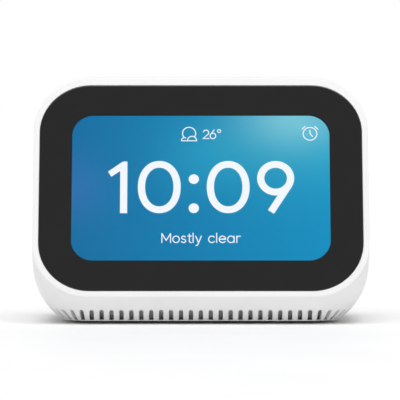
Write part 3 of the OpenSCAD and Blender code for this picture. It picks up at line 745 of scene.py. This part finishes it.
def screen_picture():
    """The lit background: blue, lighter to the right, with a pale glow in the upper right."""
    p = Paint("screen_picture", Base_Color=(0.0, 0.0, 0.0), Roughness=0.6, Specular_IOR_Level=0.0)
    up = Vector((0, SIN_T, COS_T))
    centre = Vector((0, FACE_C[0] * MM, FACE_C[1] * MM))
    split = p.node("ShaderNodeSeparateXYZ", {"Vector": p.coords})
    across = p.math("DIVIDE", split.outputs["X"], LIT[0] / 2 * MM)
    offset = p.node("ShaderNodeVectorMath", {0: p.coords, 1: centre}, operation="SUBTRACT").outputs["Vector"]
    rise = p.node("ShaderNodeVectorMath", {0: offset, 1: up}, operation="DOT_PRODUCT").outputs["Value"]
    high = p.math("DIVIDE", rise, LIT[1] / 2 * MM)

    def lobe(x, y, wide, tall):
        """A soft spot with its middle at (x, y) in half screens."""
        a = p.math("DIVIDE", p.math("SUBTRACT", across, x), wide)
        b = p.math("DIVIDE", p.math("SUBTRACT", high, y), tall)
        square = p.math("ADD", p.math("MULTIPLY", a, a), p.math("MULTIPLY", b, b))
        return p.math("EXPONENT", p.math("MULTIPLY", square, -1.0))

    colour = p.blend(p.spread(across, 0, 1, -1.0, 1.0), (0.001, 0.163, 0.383), (0.0, 0.285, 0.560))

    glow = (0.72, 1.0, 0.38, 0.42)
    halo = (0.75, 0.70, 0.80, 0.75)
    violet_side = (-1.0, 0.0, 0.28, 0.45)
    middle = (0.0, 0.40, 0.35, 0.45)
    colour = p.blend(lobe(*glow), colour, (0.17, 0.22, 0.15), "ADD")
    colour = p.blend(lobe(*halo), colour, (0.022, 0.115, 0.055), "ADD")
    colour = p.blend(lobe(*violet_side), colour, (0.022, 0.006, 0.05), "ADD")
    colour = p.blend(lobe(*middle), colour, (0.004, 0.055, 0.05), "ADD")
    p.use("Emission Color", colour)
    p.shader.inputs["Emission Strength"].default_value = 1.0
    return p.material


def lit_white():
    """Lit strokes on the display, with the faint unevenness of its pixels."""
    p = Paint("screen_white", Base_Color=(0.0, 0.0, 0.0), Specular_IOR_Level=0.0)
    p.use("Emission Color", p.blend(p.noise(0.0004, 2), (0.93, 1.0, 1.06), (0.99, 1.02, 1.05)))
    p.shader.inputs["Emission Strength"].default_value = 1.0
    return p.material


WHITE = (0.815, 0.815, 0.81)
white_plastic = plastic("white_plastic_moulded", WHITE, 0.42)
CAD_MATERIALS = {
    "white": white_plastic,
    "base": plastic("base_plastic_moulded", (0.86, 0.86, 0.855), 0.5),
    "black": plastic("black_plastic_moulded", (0.018, 0.018, 0.02), 0.45),
    "ivory": plastic("ivory_plastic_moulded", (0.75, 0.71, 0.60), 0.4),
    "tray": plastic("backlight_tray_moulded", (0.78, 0.79, 0.80), 0.35),
    "adhesive": rubber("foam_adhesive", (0.012, 0.012, 0.013)),
    "rubber": rubber("foot_rubber_moulded", (0.17, 0.17, 0.175)),
    "soft_black": rubber("gasket_rubber", (0.02, 0.02, 0.021)),
    "board": circuit_board("solder_mask"),
    "chip": chip("epoxy_package"),
    "flex": flex_film("polyimide_flex"),
    "steel": metal("stainless_steel", (0.62, 0.61, 0.59), 0.32),
    "tinned": metal("tinned_shield", (0.70, 0.70, 0.69), 0.3, (1, 6, 1)),
    "aluminium": metal("rolled_aluminium", (0.78, 0.79, 0.80), 0.35, (12, 1, 1)),
    "zinc": metal("zinc_plate", (0.45, 0.45, 0.46), 0.38),
    "gold": metal("gold_flash", (0.85, 0.62, 0.25), 0.28),
    "ferrite": chip("ferrite_body"),
    "copper": windings("enamelled_copper", (0.72, 0.30, 0.12)),
    "cone": woven("cone_paper_pulp", (0.05, 0.05, 0.055)),
    "spider": woven("spider_cloth_weave", (0.45, 0.32, 0.14), 0.0009),
    "cloth": woven("dust_cloth_weave", (0.62, 0.62, 0.62), 0.0004),
    "jacket": plastic("wire_jacket", (0.02, 0.02, 0.022), 0.4),
    "red_jacket": plastic("power_wire_jacket", (0.42, 0.02, 0.02), 0.4),
    "sleeve": plastic("capacitor_sleeve_film", (0.02, 0.03, 0.09), 0.3),
    "sensor": plastic("sensor_window", (0.03, 0.035, 0.045), 0.2),
}
NODE_LOOKS = {
    "display_adhesive": "adhesive",
    "backlight_unit": "tray",
    "display_panel": "sensor",
    "display_carrier": "black",
    "carrier_screws": "steel",
    "light_sensor": "sensor",
    "display_ribbon": "flex",
    "touch_ribbon": "flex",
    "main_board": "board",
    "board_screws": "steel",
    "processor_shield": "tinned",
    "processor": "chip",
    "memory_chip": "chip",
    "amplifier_chip": "chip",
    "radio_shield": "tinned",
    "heat_spreader": "aluminium",
    "board_connectors": "ivory",
    "wifi_antenna": "board",
    "antenna_cable": "jacket",
    "button_board": "board",
    "button_board_screws": "steel",
    "button_switches": "black",
    "volume_up_plunger": "ivory",
    "volume_down_plunger": "ivory",
    "microphones": "gold",
    "microphone_gaskets": "soft_black",
    "button_ribbon": "flex",
    "mute_switch": "tinned",
    "mute_board": "board",
    "mute_board_screws": "steel",
    "power_jack": "black",
    "jack_pin": "steel",
    "power_board": "board",
    "power_board_screws": "steel",
    "filter_capacitors": "sleeve",
    "power_inductor": "ferrite",
    "power_wires": "red_jacket",
    "speaker_chamber": "black",
    "speaker_gasket": "soft_black",
    "speaker_basket": "zinc",
    "speaker_top_plate": "zinc",
    "speaker_magnet": "ferrite",
    "speaker_yoke": "zinc",
    "voice_coil": "copper",
    "speaker_cone": "cone",
    "speaker_dust_cap": "cone",
    "speaker_surround": "soft_black",
    "speaker_spider": "spider",
    "speaker_wires": "jacket",
    "base_cover": "base",
    "base_screws": "steel",
    "chamber_screws": "steel",
    "rubber_foot": "rubber",
    "dust_cloth": "cloth",
}


def finish_cad_nodes():
    """Gives every piece that stays as the design made it a material."""
    for name, look in NODE_LOOKS.items():
        finish(NODES[name], CAD_MATERIALS[look], 30)


# ---- glass and display ---------------------------------------------------------------------------
def build_glass():
    """One plate of glass, printed black but for a clear window over the lit area."""
    face = face_place()
    window = outline(LIT[0], LIT[1], LIT_R, MANY)
    chamfer = 0.1
    flat_start = 0.3
    front_index = 1.3

    def loop(inset, height):
        return outline(GLASS[0] - 2 * inset, GLASS[1] - 2 * inset, GLASS_R - inset, MANY), height

    loops = [(window, -GLASS_T), loop(chamfer, -GLASS_T), loop(0, -GLASS_T + chamfer)]
    loops += [loop(inset, -drop) for inset, drop in fillet(0.16)]
    loops += [loop(flat_start, 0), (window, 0)]
    glass = solid("front_glass", face, loops)
    finish(glass, black_border(), 40)
    glass.data.materials.append(clear_glass("cover_glass_window", front_index))
    glass.data.materials.append(clear_glass("bonded_window", 1.0))
    faces = glass.data.polygons
    faces[len(faces) - 1].material_index = 1
    faces[0].material_index = 2
    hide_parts("cover_glass")
    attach(glass, "case")


def ribbon(points, width, closed=False):
    """Outline of a stroke of that width along points; a closed one gives (outer, inner)."""
    p = [np.array(q, float) for q in points]
    n = len(p)
    sides = ([], [])
    for i in range(n):
        before = p[i - 1] if closed or i else p[0]
        after = p[(i + 1) % n] if closed or i < n - 1 else p[-1]
        a = (p[i] - before) if np.linalg.norm(p[i] - before) > 1e-9 else (after - p[i])
        b = (after - p[i]) if np.linalg.norm(after - p[i]) > 1e-9 else a
        a = a / np.linalg.norm(a)
        b = b / np.linalg.norm(b)
        normal = np.array([-(a[1] + b[1]), a[0] + b[0]])
        normal = normal / np.linalg.norm(normal)
        reach = width / 2 / max(0.5, normal @ np.array([-a[1], a[0]]))
        sides[0].append(p[i] + normal * reach)
        sides[1].append(p[i] - normal * reach)
    if closed:
        return sides
    return sides[0] + sides[1][::-1]


def round_ends(points, width, steps=6):
    """A stroke's outline with round ends."""
    body = ribbon(points, width)
    n = len(points)
    left, right = body[:n], body[n:]

    def cap(centre, start):
        centre = np.array(centre, float)
        x, y = start - centre
        turned = []
        for i in range(1, steps):
            c = math.cos(-math.pi * i / steps)
            s = math.sin(-math.pi * i / steps)
            turned.append(centre + np.array([x * c - y * s, x * s + y * c]))
        return turned

    return left + cap(points[-1], left[-1]) + right + cap(points[0], right[-1])


def arc(cx, cy, rx, ry, start, end, steps=14):
    """Points along part of an ellipse, from one angle in degrees to another."""
    angles = [math.radians(mix(start, end, i / steps)) for i in range(steps + 1)]
    return [(cx + rx * math.cos(a), cy + ry * math.sin(a)) for a in angles]


def oval(cx, cy, rx, ry, power=2.0, steps=64):
    """Points round an ellipse, or round a squarer oval where power is above 2."""
    points = []
    for i in range(steps):
        a = 2 * math.pi * i / steps
        reach = squircle(a, power) if power != 2 else 1
        points.append((cx + rx * reach * math.cos(a), cy + ry * reach * math.sin(a)))
    return points


def area(points):
    return sum(a[0] * b[1] - b[0] * a[1] for a, b in zip(points, points[1:] + points[:1])) / 2


INK_DEPTH = (FILM_BACK + 0.06, FILM_BACK + 0.075)
SCREEN_WHITE = lit_white()


class Strokes:
    """Flat lit shapes on the display, in its own frame, joined to one clean solid."""

    def __init__(self, name):
        self.name = name
        self.parts = []

    def shape(self, points):
        """A filled shape."""
        loops = [(points, h) for h in INK_DEPTH]
        self.parts.append(solid("stroke", face_place(), loops))

    def ring(self, points, width):
        """A closed line."""
        outer, inner = ribbon(points, width, closed=True)
        if abs(area(outer)) < abs(area(inner)):
            outer, inner = inner, outer
        n = len(outer)
        low, high = INK_DEPTH
        loops = placed(face_place(), [(outer, low), (outer, high), (inner, high), (inner, low)])
        verts = [p for r in loops for p in r]
        faces = []
        for j in range(4):
            for i in range(n):
                k = (i + 1) % n
                m = (j + 1) % 4
                faces.append([j * n + i, m * n + i, m * n + k, j * n + k])
        self.parts.append(new_object("stroke", verts, faces))

    def stroke(self, points, width):
        """An open line with round ends."""
        self.shape(round_ends(points, width))

    def build(self):
        """Joins the shapes to one object that rides on the case."""
        made = self.parts[0]
        for other in self.parts[1:]:
            boolean(made, other, "UNION")
        made.name = self.name
        made.data.name = self.name
        made.data.materials.clear()
        made.data.materials.append(SCREEN_WHITE)
        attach(made, "case")


DIGIT_W = 2.42
DIGIT_TOP = 9.7
DIGIT_LOW = -8.9


def build_digits():
    """The time, as plain numerals."""
    digits = Strokes("screen_time")
    left = -27.0
    right = -24.6
    stem_top = DIGIT_TOP - 0.2
    flag = [(right - 1.5, stem_top), (-31.1, 5.9), (-29.95, 4.05), (left, 6.1)]
    digits.shape([(left, DIGIT_LOW), (right, DIGIT_LOW), (right, stem_top)] + flag)

    zero_x = (-13.9, 9.15)
    zero_r = 5.96
    squareness = 2.12
    middle = (DIGIT_TOP + DIGIT_LOW) / 2
    half_h = (DIGIT_TOP - DIGIT_LOW) / 2 - DIGIT_W / 2
    for x in zero_x:
        digits.ring(oval(x, middle, zero_r, half_h, squareness), DIGIT_W)

    colon_x = -2.35
    colon_y = (3.2, -7.15)
    dot_r = 1.72
    for y in colon_y:
        digits.shape([(colon_x + px, y + py) for px, py in circle(dot_r, 40)])

    bowl = (25.05, 3.55)
    bowl_r = 5.0
    tail_end = (23.4, -8.45)
    lean = math.radians(-32.4)
    digits.ring(oval(bowl[0], bowl[1], bowl_r, DIGIT_TOP - DIGIT_W / 2 - bowl[1]), DIGIT_W)
    tail_start = (bowl[0] + bowl_r * math.cos(lean), bowl[1] + bowl_r * math.sin(lean))
    digits.shape(ribbon([tail_start, tail_end], DIGIT_W))
    digits.build()


def draw_weather(icons, line):
    """A round sun or moon behind a low cloud."""
    base = 16.95
    icons.stroke(arc(-3.95, 19.6, 2.2, 2.2, -34, 217, 30), line)
    icons.stroke(arc(-2.95, base, 1.55, 1.6, 0, 180), line)
    icons.stroke(arc(-5.55, base, 0.95, 1.15, 60, 180), line)
    icons.stroke([(-6.5, base), (-1.4, base)], line)


def draw_temperature(icons, line):
    """The numerals of 26 degrees."""
    top = 20.8
    foot = top - 3.05
    icons.stroke(arc(1.75, top - 0.95, 0.88, 0.95, 165, -35) + [(0.75, foot), (2.75, foot)], line)
    icons.ring(oval(4.05, top - 2.1, 0.95, 0.98, steps=32), line)
    icons.stroke([(3.15, top - 1.75), (4.45, top + 0.05)], line)
    icons.ring(oval(6.15, top - 0.35, 0.55, 0.55, steps=24), line * 0.85)


def draw_alarm(icons, line):
    """A small alarm clock: its case, two bells and two hands."""
    x = 36.7
    y = 19.45
    case_r = 2.3
    icons.ring(oval(x, y, case_r, case_r, steps=48), line)
    for s in (-1, 1):
        icons.stroke([(x + s * 2.65, y + 1.65), (x + s * 1.65, y + 2.65)], line)
    icons.stroke([(x, y + 1.3), (x, y + 0.1), (x + 0.85, y - 0.95)], line)


def build_icons():
    """A weather sign, the temperature and an alarm-clock sign along the top."""
    line = 0.33
    icons = Strokes("screen_icons")
    draw_weather(icons, line)
    draw_temperature(icons, line)
    draw_alarm(icons, line)
    icons.build()


CAP_H = 3.2
LETTER_H = 2.3


def letters():
    """Plain single-line letters: (strokes, rings, advance), in millimetres from the baseline."""
    x = LETTER_H
    half = x / 2
    bowl = 1.08
    high = x * 0.74
    low = x * 0.26
    wide_r = x * 0.26
    tight_r = x * 0.24
    m_corners = [(0.1, 0), (0.1, CAP_H), (1.55, 0.75), (3.0, CAP_H), (3.0, 0)]
    m_strokes = [list(pair) for pair in zip(m_corners, m_corners[1:])]
    s_upper = arc(0.72, high, 0.62, wide_r, 25, 180, 10) + arc(0.75, high, 0.65, tight_r, 200, 262, 4)
    s_lower = arc(0.72, low, 0.70, tight_r, 80, 0, 6) + arc(0.72, low, 0.70, wide_r, -15, -155, 10)
    return {
        "M": (m_strokes, [], 3.75),
        "o": ([], [(bowl, half, bowl, half)], 2.85),
        "s": ([s_upper + s_lower], [], 2.1),
        "t": ([[(0.55, x + 0.72)] + arc(1.15, 0.6, 0.6, 0.6, 180, 275, 8), [(0, x), (1.25, x)]], [], 1.7),
        "l": ([[(0.1, 0), (0.1, CAP_H + 0.15)]], [], 0.95),
        "y": ([[(0, x), (0.95, 0.05)], [(1.9, x), (0.72, -0.75), (0.45, -1.0), (0.1, -1.0)]], [], 3.3),
        "c": ([arc(bowl, half, bowl, half, 42, 318, 22)], [], 2.6),
        "e": ([[(0.1, half), (2.1, half)] + arc(bowl, half, bowl, half, 8, 320, 24)], [], 2.8),
        "a": ([[(2.15, x), (2.15, 0)]], [(bowl, half, bowl, half)], 2.95),
        "r": ([[(0.1, 0), (0.1, x)], arc(0.95, x - 0.85, 0.85, 0.85, 175, 65, 8)], [], 1.4),
    }


def build_caption():
    """A short plain weather line below the time."""
    words = "Mostly clear"
    forms = letters()
    forms[" "] = ([], [], 1.0)
    line = 0.34
    base = -19.3
    x = -sum(forms[c][2] for c in words) / 2 + 0.1
    caption = Strokes("screen_caption")
    for c in words:
        strokes, rings, advance = forms[c]
        for points in strokes:
            caption.stroke([(x + px, base + py) for px, py in points], line)
        for cx, cy, rx, ry in rings:
            caption.ring(oval(x + cx, base + cy, rx, ry, steps=32), line)
        x += advance
    caption.build()


def build_display():
    """Touch film, lit picture and its signs, between the glass and the panel."""
    face = face_place()
    margin = 0.3
    lit = outline(LIT[0] + 2 * margin, LIT[1] + 2 * margin, LIT_R + margin, 16)
    picture = solid("screen_picture", face, [(lit, FILM_BACK + 0.01), (lit, FILM_BACK + 0.04)])
    picture.data.materials.append(screen_picture())
    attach(picture, "case")

    sheet = outline(94.0, 58.0, 1.5, 6)
    film = solid("touch_sheet", face, [(sheet, -1.19), (sheet, -1.13)])
    p = Paint("touch_sheet_clear", Base_Color=(0.02, 0.025, 0.03), Alpha=0.03, Roughness=0.5)
    p.bump(p.noise(0.002, 2), 0.000002)
    film.data.materials.append(p.material)
    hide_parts("touch_film")
    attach(film, "case")
    build_digits()
    build_icons()
    build_caption()


# ---- controls --------------------------------------------------------------------------------------
def pill(length, width, inset=0.0):
    """Outline of a bar with round ends; a negative inset grows it."""
    w = width - 2 * inset
    return outline(length - 2 * inset, w, w / 2 - SOFT)


def build_button(side, name, body):
    """A volume key: a pill with a softly domed top and a sign engraved in it."""
    place = Matrix.Translation((side * BUTTON_X, BUTTON_Y, 0))
    flange_t = 0.9
    flange_out = 0.8
    dome = 0.05
    arm = 1.0
    weight = 0.42
    sign_depth = 0.16
    flange = pill(BUTTON_L, BUTTON_W, -flange_out)
    neck = FLANGE_Z + flange_t
    loops = [(flange, FLANGE_Z), (flange, neck), (pill(BUTTON_L, BUTTON_W), neck)]
    for inset, drop in fillet(0.45, 4):
        loops.append((pill(BUTTON_L, BUTTON_W, inset), BUTTON_TOP - dome - drop))
    loops += [(pill(BUTTON_L, BUTTON_W, 1.2), BUTTON_TOP - 0.01), (pill(BUTTON_L, BUTTON_W, 1.8), BUTTON_TOP)]
    key = solid(name + "_key", place, loops)
    signs = [outline(2 * arm, weight, weight / 2 - SOFT, 6)]
    if side > 0:
        signs.append(outline(weight, 2 * arm, weight / 2 - SOFT, 6))
    for points in signs:
        boolean(key, solid("sign", place, [(points, BUTTON_TOP - sign_depth), (points, BUTTON_TOP + 1)]))
    finish(key, white_plastic, 35)
    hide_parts(name + "_button")
    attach(key, body)


def build_mute_knob():
    """The mute slider: a ribbed pill on a plate that slides behind the slot."""
    place = back_place() @ Matrix.Translation((-MUTE_TRAVEL / 2, 0, 0))
    plate = pill(KNOB_L + MUTE_TRAVEL + 5.2, KNOB_W + 2.2)
    plate_back = -3.4
    plate_front = -2.6
    groove_x = (-1.2, -0.6, 0, 0.6, 1.2)
    groove_depth = 0.18
    loops = [(plate, plate_back), (plate, plate_front), (pill(KNOB_L, KNOB_W), plate_front)]
    for inset, drop in fillet(0.3, 4):
        loops.append((pill(KNOB_L, KNOB_W, inset), KNOB_OUT - drop))
    knob = solid("mute_slider", place, loops)
    for x in groove_x:
        groove = [(px + x, py) for px, py in outline(0.22, 1.7, 0.1, 5)]
        boolean(knob, solid("groove", place, [(groove, KNOB_OUT - groove_depth), (groove, KNOB_OUT + 1)]))
    blade = outline(1.6, 1.6, 0.2, 4)
    boolean(knob, solid("blade", place, [(blade, -5.6), (blade, -3.0)]), "UNION")
    finish(knob, white_plastic, 35)
    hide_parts("mute_knob")
    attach(knob, "mute_slider")


# ---- stage, light and camera -------------------------------------------------------------------------
def build_stage():
    """A wide pale floor."""
    size = 6000
    corners = [(-size, -size, 0), (size, -size, 0), (size, size, 0), (-size, size, 0)]
    floor = new_object("floor", corners, [[0, 1, 2, 3]])
    p = Paint("floor_paper", Roughness=0.7, Specular_IOR_Level=0.2)
    p.use("Base Color", p.blend(p.spread(p.noise(0.05, 3), 0, 1), (0.85, 0.85, 0.85), (0.87, 0.87, 0.87)))
    floor.data.materials.append(p.material)


def build_world():
    """A surround that is white at the horizon, dimmer overhead and dimmer at the sides."""
    overhead = 0.55
    fade = (0.30, 0.62)
    sides = 0.7
    world = bpy.data.worlds.new("studio")
    bpy.context.scene.world = world
    world.use_nodes = True
    nodes = world.node_tree.nodes
    links = world.node_tree.links
    background = nodes["Background"]
    coords = nodes.new("ShaderNodeTexCoord")
    split = nodes.new("ShaderNodeSeparateXYZ")
    links.new(coords.outputs["Generated"], split.inputs[0])
    ramp = nodes.new("ShaderNodeValToRGB")
    links.new(split.outputs["Z"], ramp.inputs["Fac"])
    for stop, position, level in zip(ramp.color_ramp.elements, fade, (1.0, overhead)):
        stop.position = position
        stop.color = (level, level, level, 1)
    links.new(ramp.outputs["Color"], background.inputs["Color"])

    def stretch(value, low, high, at_low, at_high):
        made = nodes.new("ShaderNodeMapRange")
        pairs = (("From Min", low), ("From Max", high), ("To Min", at_low), ("To Max", at_high))
        for key, number in pairs:
            made.inputs[key].default_value = number
        links.new(value, made.inputs["Value"])
        return made.outputs["Result"]

    aside = nodes.new("ShaderNodeMath")
    aside.operation = "ABSOLUTE"
    links.new(split.outputs["X"], aside.inputs[0])
    high_aside = nodes.new("ShaderNodeMath")
    high_aside.operation = "MULTIPLY"
    links.new(aside.outputs[0], high_aside.inputs[0])
    links.new(stretch(split.outputs["Z"], 0.06, 0.22, 0.0, 1.0), high_aside.inputs[1])
    links.new(stretch(high_aside.outputs[0], 0.4, 1.0, 1.0, sides), background.inputs["Strength"])


def build_light():
    """One broad soft light overhead, a little towards the front."""
    sun = bpy.data.lights.new("overhead", "SUN")
    sun.energy = 1.9
    sun.angle = math.radians(56)
    lamp = bpy.data.objects.new("overhead", sun)
    lamp.rotation_euler = (math.radians(12), 0, 0)
    bpy.context.scene.collection.objects.link(lamp)


def build_camera():
    """A long lens almost level with the middle of the face."""
    elevation = math.radians(2)
    distance = 1.3
    target = Vector((-0.00028, FACE_C[0] * MM, 0.04092))
    data = bpy.data.cameras.new("camera")
    data.lens = 350
    data.sensor_width = 36
    data.clip_start = 0.05
    data.clip_end = 50
    camera = bpy.data.objects.new("camera", data)
    camera.location = target + distance * Vector((0, -math.cos(elevation), math.sin(elevation)))
    camera.rotation_euler = (math.pi / 2 - elevation, 0, 0)
    bpy.context.scene.collection.objects.link(camera)
    bpy.context.scene.camera = camera


build_housing()
build_glass()
build_display()
build_button(1, "volume_up", "volume_up")
build_button(-1, "volume_down", "volume_down")
build_mute_knob()
finish_cad_nodes()
build_stage()
build_world()
build_light()
build_camera()
bpy.context.scene.view_settings.view_transform = "Standard"
